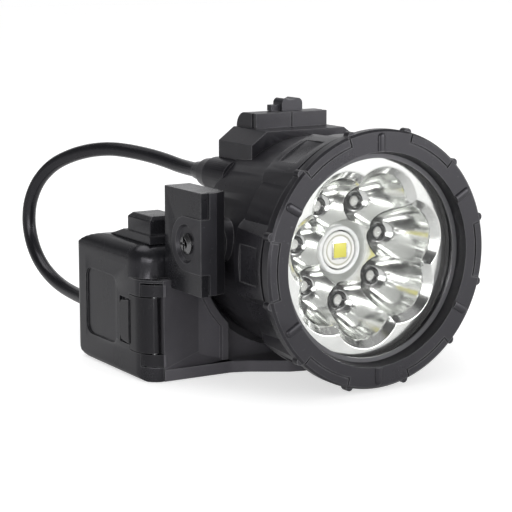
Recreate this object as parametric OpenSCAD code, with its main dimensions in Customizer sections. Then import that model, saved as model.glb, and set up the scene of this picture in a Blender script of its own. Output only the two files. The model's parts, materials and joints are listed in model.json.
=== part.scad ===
// Miner's cap lamp: a round lamp head held between two ears on a battery case,
// with one cable from the head to the case.
// Millimetres. +Z is up, the head faces -Y, X runs across the ears.
// The origin is under the middle of the lamp, on the surface it stands on.

/* [Battery case] */
// Width of the case
case_w = 128; // [126:1:132]
// Height of the case
case_h = 48; // [47:1:50]
// Radius of the case's two front corners in plan
case_r = 9; // [8:1:10]
// Radius along the top edges of the case
case_top_r = 6; // [5:0.5:7]
// Wall thickness of the case
wall = 2.5; // [2:0.5:2.5]

/* [Lamp head] */
// Outer radius of the bezel
bezel_r = 45; // [45:0.5:46]
// Thickness of the bezel at its rim
bezel_t = 4.6; // [4:0.2:5]
// Height of the lamp axis above the ground
axis_z = 46; // [46:0.5:48]
// Radius of the barrel behind the grip collar
barrel_r = 40.2; // [39.8:0.2:40.4]
// Number of small lamps round the main one
small_led_count = 7; // [5:1:7]
// Radius of the circle of small lamps
small_led_pitch_r = 18.3; // [17.8:0.1:18.8]

/* [Tilt pivot] */
// Depth of the pivot behind the bezel's front face
pivot_depth = 39; // [38.5:0.5:39]
// Height of the pivot above the lamp axis
pivot_rise = 5; // [4.5:0.5:5]
// Distance from the middle to the outer face of an ear
ear_out_x = 54; // [53.5:0.5:55]
// Distance from the middle to the inner face of an ear
ear_in_x = 43.5; // [43.5:0.1:44]

/* [Cable] */
// Diameter of the cable
cable_d = 5.5; // [5:0.1:5.6]

/* [Hidden] */
$fn = 96;
eps = 0.01;

// Places along Y: the head's front face and the case's front and back.
head_y = -53;
case_front_y = -3;
case_back_y = 53.8;
case_d = case_back_y - case_front_y;
case_back_r = 4;
pivot_y = head_y + pivot_depth;
pivot_z = axis_z + pivot_rise;

// The case's front steps back above the front panel.
panel_top_z = 36.5;
brow_y = 2;
panel_half_w = 57;

// The bay is the space behind the ears that the head's rear swings in.
bay_r = 40.6;
bay_half_w = 29;
bay_back_y = 28;
bay_floor_z = 2.5;
bay_swing_r = 48.4;

// The corner latches.
latch_t = 2.2;
latch_low_z = 10.3;
latch_high_z = 30.2;
latch_pin_x = 59;
latch_pin_y = case_front_y + 3.4;
latch_pin_r = 1;
latch_end_y = 10;
latch_play = 0.3;

// Depths inside the head, counted back from the bezel's front face.
lip_d = 4.2;
lens_d = 5;
lens_t = 2.2;
collar_front_d = bezel_t + 0.3;
collar_back_d = 26;
board_d = 27.2;
board_t = 1.6;
sink_back_d = 33;
shoulder_d = 58;
barrel_end_d = 70;
cap_end_d = 72;
spigot_r = 39.1;
seat_r = 37.1;
rear_screw_r = 24;

// Reflector cups.
cup_floor_d = 27;
cup_mouth_d = 8;
cup_hole_r = 3.5;
cup_mouth_r = 12.2;
main_hole_r = 8.9;
small_led_start = 23.5;
dome_d = 25.6;

// Pivot hardware.
pivot_screw_r = 2.5;
pivot_head_r = 3.7;
pivot_play = 0.05;
ear_front_y = head_y + 28;
ear_low_z = axis_z - 12.4;
ear_high_z = axis_z + 22;
tongue_r = 9.6;
ear_screw_x = 48.5;
ear_screw_z = [38.6, 42];

// Switch on top of the head.
switch_front_d = 46.5;
switch_back_d = 69.7;
switch_top_z = 41;
plate_h = 5.5;
knob_x = 2.5;
knob_travel = 3;

// Cable gland on the head's rear, and the cable's inlet on the case's back.
gland_x = -23;
gland_z = axis_z + 23.5;
inlet_x = -50;
inlet_z = 16;
boot_end_y = 32;
inlet_end_y = 64;

cable_route = [
    [gland_x, boot_end_y, gland_z], [gland_x, 38, gland_z], [-23.4, 46, 69.9], [-24.4, 54, 70.9],
    [-25.9, 61.5, 71.8], [-27.9, 69, 72.5], [-30.3, 76, 73], [-33, 83, 73.1],
    [-36, 90, 72.4], [-39, 96.5, 71], [-42, 103, 68.8], [-45, 110, 65.4],
    [-47.5, 115.5, 61], [-49.5, 119.8, 55.5], [-51, 122.6, 48.5], [-51.6, 123.3, 41],
    [-51.6, 121.6, 34], [-51.4, 117.5, 28], [-51, 111.5, 23.2], [-50.6, 103.5, 19.7],
    [-50.2, 94, 17.4], [-50, 83, 16.3], [-50, 72, 16], [inlet_x, inlet_end_y, inlet_z]];
cable_sides = 10;

// ---- Helpers ----

// Everything in the head is drawn from the middle of the bezel's front face.
module in_head() translate([0, head_y, axis_z]) children();

// Turns its children clockwise from 12 o'clock, seen from the front.
module clock(a) rotate([0, a, 0]) children();

// Revolves [radius, depth] points about the lamp axis.
module lathe(points) rotate([-90, 0, 0]) rotate_extrude() polygon(points);

// A disc or ring about the lamp axis, from depth d0 to depth d1.
module ring(r, d0, d1, bore = 0)
    translate([0, d0, 0]) rotate([-90, 0, 0]) difference() {
        cylinder(r = r, h = d1 - d0);
        if (bore > 0) translate([0, 0, -1]) cylinder(r = bore, h = d1 - d0 + 2);
    }

// A cylinder along +X, from x0 to x1.
module rod_x(r, x0, x1) translate([x0, 0, 0]) rotate([0, 90, 0]) cylinder(r = r, h = x1 - x0);

// Draws its children on the left (-X) side, or mirrors them to the right.
module on_side(side) mirror([side > 0 ? 1 : 0, 0, 0]) children();

module both_sides() {
    children();
    mirror([1, 0, 0]) children();
}

// What a rounded corner takes off a square one at the origin.
module corner_cut(r) difference() {
    translate([-1, -1]) square(r + 1);
    translate([r, r]) circle(r);
}

// A rectangle from the origin; r lists its corner radii, counter-clockwise.
module round4(w, h, r) difference() {
    square([w, h]);
    corner_cut(r[0]);
    translate([w, 0]) mirror([1, 0]) corner_cut(r[1]);
    translate([w, h]) rotate(180) corner_cut(r[2]);
    translate([0, h]) mirror([0, 1]) corner_cut(r[3]);
}

// A rectangle with round corners, centred.
module rounded_rect(w, d, r) {
    square([w - 2 * r, d], center = true);
    square([w, d - 2 * r], center = true);
    for (x = [-1, 1], y = [-1, 1])
        translate([x * (w / 2 - r), y * (d / 2 - r)]) circle(r);
}

// ---- Battery case ----

// The case's outer form, rounded at its corners, its top and its back.
module case_form(inset = 0, front = case_front_y) {
    w = case_w - 2 * inset;
    d = case_back_y - front - 2 * inset;
    h = case_h - 2 * inset;
    r = case_top_r - inset / 2;
    cr = case_r - inset;
    translate([-w / 2, front + inset, inset]) difference() {
        intersection() {
            linear_extrude(h) round4(w, d, [cr, cr, case_back_r, case_back_r]);
            translate([0, 2 * d, 0]) rotate([90, 0, 0]) linear_extrude(3 * d) round4(w, h, [2.5, 2.5, r, r]);
            translate([-w, 0, 0]) rotate([90, 0, 90]) linear_extrude(3 * w) round4(d, h, [0.8, 5, r, r]);
        }
        // The two front corners turn over into the top.
        for (x = [0, w]) difference() {
            translate([x - cr, -cr, h - r]) cube([2 * cr, 2 * cr, r + 1]);
            translate([abs(x - cr), cr, 0]) corner_post(cr, h, r);
            translate([x == 0 ? cr : -cr, -1, 0]) cube([w, 3 * cr, h + 2]);
            translate([-1, cr, 0]) cube([w + 2, 2 * cr, h + 2]);
        }
    }
}

// A post turned from the case's side profile.
module corner_post(cr, h, r) rotate_extrude() {
    square([cr, h - r]);
    square([cr - r, h]);
    intersection() {
        translate([cr - r, h - r]) circle(r);
        square([cr, h]);
    }
}

// The space that the head's rear swings in, grown by a margin for its walls.
module bay(margin = 0) {
    intersection() {
        union() {
            translate([0, -60, axis_z]) rotate([-90, 0, 0])
                cylinder(r = bay_r + margin, h = 60 + bay_back_y + margin);
            translate([-bay_r - margin, -60, axis_z])
                cube([2 * (bay_r + margin), 60 + bay_back_y + margin, 60]);
            translate([-bay_half_w - margin, -60, bay_floor_z - margin])
                cube([2 * (bay_half_w + margin), 60 + bay_back_y + margin, 40]);
        }
        translate([-60, -60, bay_floor_z - margin]) cube([120, 140, 120]);
    }
}

// The recess in a front corner of the case that the latch and its lugs fill.
module latch_corner() {
    translate([-case_w / 2 - 1, case_front_y - 1, latch_low_z - 5])
        cube([case_w / 2 + 1 - panel_half_w, latch_pin_y - case_front_y + 3.4, 30.2]);
    translate([-case_w / 2 - 1, case_front_y - 1, latch_low_z - latch_play])
        cube([latch_t + latch_play + 1, latch_end_y - case_front_y + 1.4,
            latch_high_z - latch_low_z + 2 * latch_play]);
    translate([-case_w / 2 - 1, latch_end_y, latch_low_z + 1.5])
        cube([2.4, 7.6, latch_high_z - latch_low_z - 3]);
    translate([-case_w / 2 - 1, case_front_y - 1, latch_low_z - latch_play])
        cube([4.4, 10, latch_high_z - latch_low_z + 2 * latch_play]);
}

module battery_case() color("#2b2b2e") difference() {
    union() {
        case_form(0, brow_y);
        intersection() {
            case_form();
            translate([-case_w, case_front_y - 1, -1]) cube([2 * case_w, 20, panel_top_z + 1]);
        }
    }
    // Hollow inside, thicker behind the latches.
    intersection() {
        case_form(wall);
        translate([-case_w, 19, 0]) cube([2 * case_w, case_d, case_h]);
    }
    translate([-panel_half_w + 1, brow_y + wall, wall])
        cube([2 * panel_half_w - 2, 20, case_h - 2 * wall - 1.5]);
    bay(wall + 0.1);
    // Open front below the brow.
    translate([-panel_half_w, case_front_y - 1, -1])
        cube([2 * panel_half_w, brow_y + wall - case_front_y + 1 + eps, panel_top_z + 1]);
    both_sides() latch_corner();
    // Shallow panel in each end wall.
    both_sides() translate([-case_w / 2 - 1, 32.5, 22.5]) rotate([90, 0, 90])
        linear_extrude(1.8) rounded_rect(25, 25, 4);
    // Bores for the cable inlet and the ears' screws.
    translate([inlet_x, case_back_y - 4, inlet_z]) rotate([-90, 0, 0]) cylinder(r = 4, h = 6);
    ear_screw_bores();
}

// Straight bores for the screws that hold each ear to the brow.
module ear_screw_bores() both_sides() for (z = ear_screw_z)
    translate([-ear_screw_x, brow_y - 8, z]) rotate([-90, 0, 0]) cylinder(r = 1.2, h = 8 + wall);

// ---- Front panel with the head's bay ----

// Plan of the panel's front: it falls back from each end towards the bay.
module panel_plan() polygon([
    [-panel_half_w + 0.3, brow_y + 2], [-panel_half_w + 0.3, case_front_y + 0.6],
    [-bay_half_w, 5], [bay_half_w, 5],
    [panel_half_w - 0.3, case_front_y + 0.6], [panel_half_w - 0.3, brow_y + 2]]);

// Plan of the foot: a shelf that swells forward under the lamp.
module foot_plan() {
    polygon([
        [-panel_half_w + 0.3, 2], [-panel_half_w + 0.3, case_front_y + 0.3], [-30, case_front_y - 0.3],
        [-24, -5.5], [-18, -9.2], [-11, -13.5], [-6, -15], [6, -15], [11, -13.5],
        [18, -9.2], [24, -5.5], [30, case_front_y - 0.3],
        [panel_half_w - 0.3, case_front_y + 0.3], [panel_half_w - 0.3, 2]]);
}

module front_panel() color("#29292c") {
    difference() {
        union() {
            // Two wings, closed behind by the panel's own back.
            intersection() {
                linear_extrude(panel_top_z - 0.3) panel_plan();
                translate([-60, -10, 0]) cube([120, brow_y + 10, 60]);
            }
            translate([-panel_half_w + 3, brow_y - eps, wall + 1.6])
                cube([2 * panel_half_w - 6, wall, panel_top_z - wall - 3.2]);
            // Shell of the bay, let into the case.
            intersection() {
                bay(wall);
                translate([-60, brow_y - 2, 0]) cube([120, 60, case_h]);
            }
            linear_extrude(4.2) foot_plan();
        }
        bay();
    }
    // Lugs above and below each latch.
    both_sides() for (z = [latch_low_z - 4.7, latch_high_z + 0.4]) intersection() {
        difference() {
            case_form();
            translate([-latch_pin_x, latch_pin_y, -1]) cylinder(r = latch_pin_r, h = case_h);
        }
        translate([-case_w / 2, case_front_y - 1, z])
            cube([case_w / 2 - panel_half_w + 0.8, latch_pin_y - case_front_y + 3.1, 4.3]);
    }
}

// A rubber frame round the panel's back, pressed between the panel and the case.
module case_gasket() color("#161616") both_sides() difference() {
    translate([-panel_half_w + 0.9, brow_y, wall + 0.1]) cube([27, wall, panel_top_z - wall - 0.5]);
    translate([-panel_half_w + 3, brow_y - 1, wall + 1.6])
        cube([30, wall + 2, panel_top_z - wall - 3.2]);
    bay(wall);
}

// ---- Ears that carry the head ----

// Side view of the cap's tongue round the pivot, drawn in the Y-Z plane.
module tongue(x0, x1, r) translate([0, pivot_y, pivot_z]) {
    rod_x(r, x0, x1);
    translate([x0, ear_front_y - pivot_y, -r]) cube([x1 - x0, pivot_y - ear_front_y, 2 * r]);
}

flange_out_x = 51;
flange_t = 3;
tongue_t = 2.2;

module ear(side) on_side(side) color("#2d2d30") difference() {
    translate([-ear_out_x, ear_front_y + 0.8, ear_low_z])
        cube([ear_out_x - ear_in_x, brow_y - ear_front_y - 0.8, ear_high_z - ear_low_z]);
    // Seats for the cap's flange and tongue.
    translate([-flange_out_x, ear_front_y - 1, ear_low_z - 1])
        cube([20, flange_t + 1, ear_high_z - ear_low_z + 2]);
    tongue(-ear_out_x - 1, -ear_out_x + tongue_t - 0.5, tongue_r);
    translate([-ear_out_x - 1, ear_front_y - 1, pivot_z - tongue_r])
        cube([20, flange_t + 1, 2 * tongue_r]);
    // Clearance bore for the pivot screw.
    translate([0, pivot_y, pivot_z]) rod_x(pivot_screw_r, -ear_out_x - 2, -ear_in_x + 1);
    // Cut away below the brow, to clear the front panel, and bored for its screws.
    translate([-60, case_front_y + 0.3, ear_low_z - 1]) cube([20, 10, panel_top_z - ear_low_z + 1.1]);
    ear_screw_bores();
    // Slanted bottom edge.
    translate([-ear_out_x - 1, ear_front_y, ear_low_z]) rotate([-6, 0, 0])
        translate([0, -5, -8]) cube([20, 45, 8]);
    // Chamfer down the outer back edge.
    translate([-ear_out_x, brow_y, 0]) rotate([0, 0, 45]) cube([1, 1, 200], center = true);
}

module ear_cap(side) on_side(side) color("#303034") difference() {
    union() {
        // Flange down the front, with its inner edge cut back.
        difference() {
            translate([-flange_out_x, ear_front_y, ear_low_z + 0.6])
                cube([flange_out_x - ear_in_x, flange_t, ear_high_z - ear_low_z - 0.6]);
            translate([-flange_out_x + 2.8, ear_front_y, 0]) rotate([0, 0, 32])
                translate([0, -10, 0]) cube([20, 10, 200]);
        }
        // Bridge round the ear's edge and the tongue on its side.
        translate([-ear_out_x - 0.4, ear_front_y, pivot_z - tongue_r])
            cube([ear_out_x - flange_out_x + 1.4, flange_t, 2 * tongue_r]);
        tongue(-ear_out_x - 0.5, -ear_out_x + tongue_t - 0.5, tongue_r);
    }
    // Dished seat for the screw's head.
    translate([0, pivot_y, pivot_z]) {
        rod_x(pivot_screw_r, -ear_out_x - 2, -ear_in_x);
        translate([-ear_out_x - 0.6, 0, 0]) rotate([0, 90, 0]) cylinder(r1 = 6.9, r2 = 5.9, h = 1.2);
    }
}

// A pan head with a cross recess.
module cross_recess(r, depth) for (a = [0, 90]) rotate([a, 0, 0])
    translate([-1, -r * 0.62, -r * 0.12]) cube([1 + depth, r * 1.24, r * 0.24]);

module pivot_screws() color("#3a3a3c") both_sides() translate([0, pivot_y, pivot_z]) difference() {
    union() {
        rod_x(pivot_screw_r, -ear_out_x, -37);
        rod_x(pivot_head_r, -ear_out_x - 0.2, -ear_out_x + 0.6);
        translate([-ear_out_x - 0.2, 0, 0]) rotate([0, -90, 0])
            cylinder(r1 = pivot_head_r, r2 = pivot_head_r - 1.3, h = 0.9);
    }
    translate([-ear_out_x - 1.1, 0, 0]) cross_recess(pivot_head_r, 1.2);
}

// Screws from inside the case into the back of each ear.
module ear_screws() color("silver") {
    ear_screw_bores();
    both_sides() for (z = ear_screw_z) translate([-ear_screw_x, brow_y + wall, z])
        rotate([-90, 0, 0]) cylinder(r = 1.6, h = 1.4);
}

// ---- Corner latches ----

module latch(side) on_side(side) color("#2a2a2d") {
    difference() {
        translate([0, 0, latch_low_z]) linear_extrude(latch_high_z - latch_low_z) {
            intersection() {
                difference() {
                    translate([0, case_front_y + case_d / 2]) rounded_rect(case_w, case_d, case_r);
                    translate([0, case_front_y + case_d / 2])
                        rounded_rect(case_w - 2 * latch_t, case_d - 2 * latch_t, case_r - latch_t);
                }
                translate([-case_w / 2 - 1, case_front_y - 1])
                    square([case_w / 2 - 0.2 - latch_pin_x, latch_end_y - case_front_y + 1]);
            }
            translate([-latch_pin_x, latch_pin_y]) circle(2, $fn = 48);
        }
        translate([-latch_pin_x, latch_pin_y, 0])
            cylinder(r = latch_pin_r + pivot_play, h = case_h, $fn = 48);
    }
    // Finger tab that lies on the case's end wall.
    translate([-case_w / 2 - 0.5, latch_end_y - eps, latch_low_z + 2]) rotate([90, 0, 90])
        linear_extrude(1.6) polygon([[0, 0], [5.5, 0.8], [7, 3], [7, 12.9], [5.5, 15.1], [0, 15.9]]);
}

module latch_pins() color("silver") both_sides()
    translate([-latch_pin_x, latch_pin_y, latch_low_z - 4.7])
        cylinder(r = latch_pin_r, h = latch_high_z - latch_low_z + 9.4, $fn = 48);

// ---- Lugs on top of the case ----

module top_lugs() color("#2a2a2d") both_sides() {
    // A low base that ramps down to the back.
    translate([-57.9, 0, case_h]) rotate([90, 0, 90]) linear_extrude(12.9)
        polygon([[5.5, 0], [5.5, 2.4], [6.3, 3.2], [26, 3.2], [36.5, 0]]);
    difference() {
        translate([-57, 7, case_h + 3.2 - eps]) cube([12, 17, 6.4]);
        translate([-57, 14, case_h + 9.6]) rotate([0, 45, 0]) cube([2.2, 60, 2.2], center = true);
        for (y = [7, 24]) translate([-50, y, case_h + 9.6]) rotate([45, 0, 0])
            cube([60, 1.8, 1.8], center = true);
    }
}

// ---- Battery and boards inside the case ----

cell_r = 9.2;
cell_len = 65;
cell_y = bay_back_y + wall + 0.6 + cell_r;
cell_z = [wall + 2 + cell_r, wall + 2.6 + 3 * cell_r];

module battery_cells() color("#3f6fb0") for (z = cell_z) translate([0, cell_y, z]) {
    rod_x(cell_r, -cell_len / 2, cell_len / 2);
    rod_x(3, cell_len / 2 - eps, cell_len / 2 + 1);
}

// A cradle with end plates and a web between the two cells.
module cell_tray() color("#202022") difference() {
    union() {
        translate([-cell_len / 2 - 3.5, cell_y - cell_r, wall])
            cube([cell_len + 7.5, 2 * cell_r - 3.4, 9]);
        translate([-cell_len / 2 - 3.5, cell_y - 8, cell_z[0] + 5])
            cube([cell_len + 7.5, 16, 2 * cell_r - 10]);
        for (x = [-cell_len / 2 - 3.5, cell_len / 2 + 1.5])
            translate([x, cell_y - 7, wall]) cube([2.5, 14, 38]);
    }
    for (z = cell_z) translate([0, cell_y, z]) rod_x(cell_r + 0.15, -cell_len / 2 - 1, cell_len / 2 + 1.5);
}

module cell_contacts() color("gold") for (x = [-cell_len / 2 - 1, cell_len / 2 + 1])
    for (z = cell_z) translate([x, cell_y - 4, z - 5]) cube([x < 0 ? 1 : 0.5, 8, 10]);

module protection_board() color("darkgreen") translate([47, 12, wall]) {
    cube([1.6, 22, 30]);
    translate([1.6 - eps, 4, 6]) cube([2.5, 8, 10]);
    translate([1.6 - eps, 14, 16]) cube([1.5, 5, 6]);
}

module cable_inlet() color("#1c1c1e") translate([inlet_x, 0, inlet_z]) rotate([-90, 0, 0]) {
    translate([0, 0, case_back_y - 4.5]) cylinder(r = 4, h = 4.5 + eps);
    translate([0, 0, case_back_y]) cylinder(r = 5.4, h = 2.4);
    translate([0, 0, case_back_y + 2.4 - eps])
        cylinder(r1 = 4.6, r2 = 3.5, h = inlet_end_y - case_back_y - 2.4);
}

module inlet_nut() color("silver") translate([inlet_x, case_back_y - wall - 2.2, inlet_z])
    rotate([-90, 0, 0]) difference() {
        cylinder(r = 6, h = 2, $fn = 6);
        translate([0, 0, -1]) cylinder(r = 4, h = 5);
    }

// ---- Lamp head: bezel and grip collar ----

groove_r = 41.2;
pad_half_a = 13;

module bezel() color("#34343a") in_head() {
    difference() {
        lathe([
            [37.3, 0], [bezel_r - 0.8, 0], [bezel_r, 0.8], [bezel_r, bezel_t - 0.6],
            [bezel_r - 0.7, bezel_t], [spigot_r, bezel_t], [spigot_r, 12],
            [seat_r, 12], [seat_r, lip_d], [36.3, lip_d], [36.4, 3.9]]);
        // A fine groove outlines each pad on the rim.
        for (k = [0:5]) clock(60 * k + 30 - pad_half_a) {
            rotate([0, -90, 0]) rotate([-90, 0, 0]) translate([0, 0, -1])
                rotate_extrude(angle = 2 * pad_half_a)
                    translate([groove_r, 0]) square([0.6, 1.6]);
            for (a = [0, 2 * pad_half_a]) clock(a)
                translate([-0.3, -1, groove_r]) cube([0.6, 1.6, 10]);
        }
    }
    // A rib on the face at every even hour.
    for (k = [0:5]) clock(60 * k) translate([-1.1, -0.8, 37.8]) cube([2.2, 0.9, 5.8]);
    // A nib on the rim at each end of a pad.
    for (k = [0:11]) clock(30 * k + 15) translate([0, 0.9, bezel_r - 0.3])
        rotate([-90, 0, 0]) cylinder(r = 1.5, h = 3, $fn = 24);
}

// Grip blocks with sloping ends, standing on the collar at every odd hour.
module grip_blocks() intersection() {
    lathe([[41, 7.2], [43.9, 7.2], [43.9, 8], [43.1, 25.4], [42.3, collar_back_d], [41, collar_back_d]]);
    union() for (k = [0:5]) clock(60 * k + 30) rotate([-90, 0, 0])
        linear_extrude(60) mirror([0, 1])
            polygon([[-14.6, 38], [-10.2, 43.2], [-9.6, 46], [9.6, 46], [10.2, 43.2], [14.6, 38]]);
}

module grip_collar() color("#303036") in_head() difference() {
    union() {
        lathe([
            [spigot_r + 0.1, collar_front_d], [43.4, collar_front_d], [43.4, 6.8], [41.2, 7.4],
            [41.2, collar_back_d - 0.6], [40.6, collar_back_d], [spigot_r + 0.1, collar_back_d]]);
        grip_blocks();
    }
    // A shallow panel let into each block.
    for (k = [0:5]) clock(60 * k + 30) translate([-6.5, 10.5, 42.6]) cube([13, 11.5, 4]);
}

module collar_seal() color("#141414") in_head() ring(spigot_r, 12.1, 12.9, bore = seat_r);

// ---- Lamp head: optics ----

module lens() color([0.9, 0.95, 1, 0.3]) in_head() ring(seat_r - 0.2, lens_d, lens_d + lens_t);

module lens_gasket() color("#5a5a5e") in_head() ring(seat_r - 0.2, lip_d, lens_d, bore = 34.8);

// A parabola through the lamp hole and the cup's mouth.
cup_k = (pow(cup_mouth_r, 2) - pow(cup_hole_r, 2)) / (cup_floor_d - cup_mouth_d);

// The hollow of one cup: a parabola about its own axis, open towards the lens.
module cup(hole_r, floor_d, steps = 5) hull() for (i = [0:steps]) {
    d = floor_d - (floor_d - cup_mouth_d + 1) * pow(i / steps, 1.4);
    translate([0, d, 0]) rotate([90, 0, 0])
        cylinder(r1 = sqrt(pow(hole_r, 2) + cup_k * (floor_d - d)), r2 = 0, h = eps, $fn = 40);
}

module reflector() color("white") in_head() difference() {
    lathe([
        [0, cup_mouth_d], [34.2, cup_mouth_d], [34.2, 8.9], [seat_r - 0.3, 8.9],
        [seat_r - 0.3, 9.9], [35, 10.5], [34.4, board_d - 0.1], [0, board_d - 0.1]]);
    cup(main_hole_r, cup_floor_d);
    translate([0, cup_floor_d - 1, 0]) rotate([-90, 0, 0]) cylinder(r = main_hole_r - 0.1, h = 4, $fn = 32);
    for (k = [0:small_led_count - 1]) clock(small_led_start + k * 360 / small_led_count)
        translate([0, 0, small_led_pitch_r]) {
            clock(4) cup(cup_hole_r, cup_floor_d);
            translate([0, cup_floor_d - 1, 0]) rotate([-90, 0, 0])
                cylinder(r = cup_hole_r - 0.1, h = 4, $fn = 32);
        }
}

module main_led() color("khaki") in_head() {
    ring(8.75, board_d - 2.9, board_d, bore = 7.2);
    ring(6.65, board_d - 2.6, board_d);
    translate([-3.25, board_d - 2.9, -3.25]) cube([6.5, 0.4, 6.5]);
    translate([-2.6, board_d - 3.2, -2.6]) cube([5.2, 0.4, 5.2]);
}

module small_leds() color("white") in_head() for (k = [0:small_led_count - 1])
    clock(small_led_start + k * 360 / small_led_count) translate([0, 0, small_led_pitch_r]) {
        ring(2.5, dome_d, board_d);
        difference() {
            translate([0, dome_d, 0]) sphere(r = 2.5, $fn = 32);
            translate([-5, dome_d + 0.5, -5]) cube(10);
        }
    }

module led_board() color("#26262a") in_head() ring(36.3, board_d, board_d + board_t);

module heat_sink() color("silver") in_head()
    ring(36.3, board_d + board_t, sink_back_d, bore = 4);

module driver_board() color("darkgreen") in_head() {
    ring(30, 40, 41.6);
    translate([-8, 41.5, -6]) cube([14, 8, 12]);
    translate([10, 41.5, 4]) cube([8, 5, 8]);
}

// ---- Lamp head: housing ----

// The barrel's outer form, from the collar back.
module barrel_form() lathe([
    [0, collar_back_d + 0.2], [barrel_r, collar_back_d + 0.2], [barrel_r, 27.5],
    [38, shoulder_d], [30.6, barrel_end_d], [0, barrel_end_d]]);

module head_housing() color("#35353b") in_head() {
    difference() {
        union() {
            lathe([[spigot_r, 13], [spigot_r, 27], [34, 27], [34, 13]]);
            barrel_form();
            // Trunnions for the tilt pivot.
            for (s = [-1, 1]) translate([0, pivot_depth, pivot_rise])
                scale([s, 1, 1]) rod_x(7.5, 33, 42.4);
            // Boss for the cable gland.
            translate([gland_x, 56, gland_z - axis_z]) rotate([-90, 0, 0]) cylinder(r = 6.6, h = 15);
        }
        // Hollow inside: seat for the heat sink, chamber, mouth for the rear cap.
        lathe([
            [0, 12], [36.4, 12], [36.4, sink_back_d + 0.05], [33.4, sink_back_d + 0.05],
            [33.4, shoulder_d - 2], [27.6, 66], [27.6, 71], [0, 71]]);
        for (s = [-1, 1]) translate([0, pivot_depth, pivot_rise])
            scale([s, 1, 1]) rod_x(3.5, 36.4, 44);
        translate([gland_x, 50, gland_z - axis_z]) rotate([-90, 0, 0]) cylinder(r = 4, h = 30);
    }
    // Blocks inside that take the rear cap's screws.
    for (a = [0:90:270]) clock(a) difference() {
        translate([-3, shoulder_d, 21.4]) cube([6, 8.4, 10]);
        rear_screw_bore();
    }
}

module pivot_inserts() color("gold") in_head() for (s = [-1, 1])
    translate([0, pivot_depth, pivot_rise]) scale([s, 1, 1]) difference() {
        rod_x(3.5, 36.5, 42.4);
        rod_x(pivot_screw_r + pivot_play, 36, 43);
    }

module friction_washers() color("#111111") in_head() for (s = [-1, 1])
    translate([0, pivot_depth, pivot_rise]) scale([s, 1, 1]) difference() {
        rod_x(7.2, 42.4, 43.2);
        rod_x(pivot_screw_r + pivot_play, 42, 44);
    }

// The straight bore of one rear screw, drawn at 12 o'clock.
module rear_screw_bore() translate([0, cap_end_d - 11, rear_screw_r]) rotate([-90, 0, 0])
    cylinder(r = 1.4, h = 11 + eps, $fn = 48);

// Clearance round the cable gland's boss at the rear cap's edge.
module gland_notch() translate([gland_x, barrel_end_d - eps, gland_z - axis_z]) rotate([-90, 0, 0])
    cylinder(r = 6.9, h = 20);

module rear_gasket() color("#141414") in_head() difference() {
    ring(30.2, barrel_end_d, barrel_end_d + 0.6, bore = 27.7);
    gland_notch();
}

module rear_cap() color("#303036") in_head() difference() {
    union() {
        ring(27.5, 66.5, barrel_end_d + 0.6 + eps);
        lathe([[0, barrel_end_d + 0.6], [30.2, barrel_end_d + 0.6], [29, cap_end_d], [0, cap_end_d]]);
    }
    gland_notch();
    for (a = [0:90:270]) clock(a) rear_screw_bore();
}

module rear_screws() color("#3a3a3c") in_head() for (a = [0:90:270]) clock(a) {
    rear_screw_bore();
    difference() {
        translate([0, cap_end_d, rear_screw_r]) rotate([-90, 0, 0]) cylinder(r1 = 2.7, r2 = 2.2, h = 1.1);
        translate([0, cap_end_d + 1.1, rear_screw_r]) for (b = [0, 90]) rotate([0, b, 0])
            cube([3, 1.2, 0.6], center = true);
    }
}

// ---- Lamp head: switch ----

module switch_housing() color("#2e2e33") in_head() difference() {
    translate([0, switch_back_d, 0]) rotate([90, 0, 0]) linear_extrude(switch_back_d - switch_front_d)
        polygon([[-23, 25], [-23, 36.3], [-16.6, switch_top_z], [16.6, switch_top_z], [23, 36.3], [23, 25]]);
    barrel_form();
    translate([gland_x, 40, gland_z - axis_z]) rotate([-90, 0, 0]) cylinder(r = 6.6, h = 40);
    translate([-12, 58, 38.2]) cube([24, 9, 5]);
}

// Side view of the plate, rounded over at its rear.
module plate_profile() {
    translate([56, 0]) square([8.2, plate_h]);
    intersection() {
        translate([64.2, 0]) circle(plate_h);
        translate([64.2 - eps, 0]) square([plate_h + 1, plate_h]);
    }
}

module switch_plate() color("#313137") in_head() difference() {
    translate([-15.3, 0, switch_top_z]) rotate([90, 0, 90]) linear_extrude(30.6) plate_profile();
    // Side grooves and a shallow channel behind the plate's front bar, and its middle seam.
    for (s = [-1, 1]) translate([s * 15.3, 58.4, 44]) cube([3.6, 1.2, 20], center = true);
    translate([-30, 57.9, switch_top_z + plate_h - 0.5]) cube([60, 1, 2]);
    translate([0, 56, 44]) cube([0.5, 0.8, 20], center = true);
    // Slot for the knob's stem.
    translate([knob_x - knob_travel - 1.5, 61.2, switch_top_z - 1])
        cube([2 * knob_travel + 3, 3, 10]);
}

module slide_switch() color("silver") in_head() difference() {
    translate([knob_x - 8, 58.5, 38.2]) cube([15.6, 8, 2.4]);
    translate([knob_x - knob_travel - 1.5, 61.2, 39]) cube([2 * knob_travel + 3, 3, 10]);
}

module switch_knob() color("#39393f") in_head() {
    plate_top = switch_top_z + plate_h + 0.1;
    // Pointer at the knob's left that shows its place.
    translate([knob_x - 7.8, 61.6, plate_top]) cube([5, 3, 2.2]);
    // Stem through the slot.
    translate([knob_x - 1.2, 61.5, 39.4]) cube([2.4, 2.4, plate_top - 39.4 + 0.5]);
    // Saddle-shaped grip, rounded at its ends and scooped in its middle.
    difference() {
        translate([knob_x - 4.3, 66, plate_top]) rotate([90, 0, 0]) linear_extrude(6.2)
            round4(8.8, 4.6, [0.4, 0.4, 2, 2]);
        translate([knob_x - 0.6, 50, plate_top + 8.4]) rotate([-90, 0, 0]) cylinder(r = 4.5, h = 30, $fn = 48);
        translate([knob_x - 10, 59.8, plate_top + 4.6]) rotate([45, 0, 0]) cube([30, 1.4, 1.4]);
    }
}

// ---- Cable and its ends ----

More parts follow.
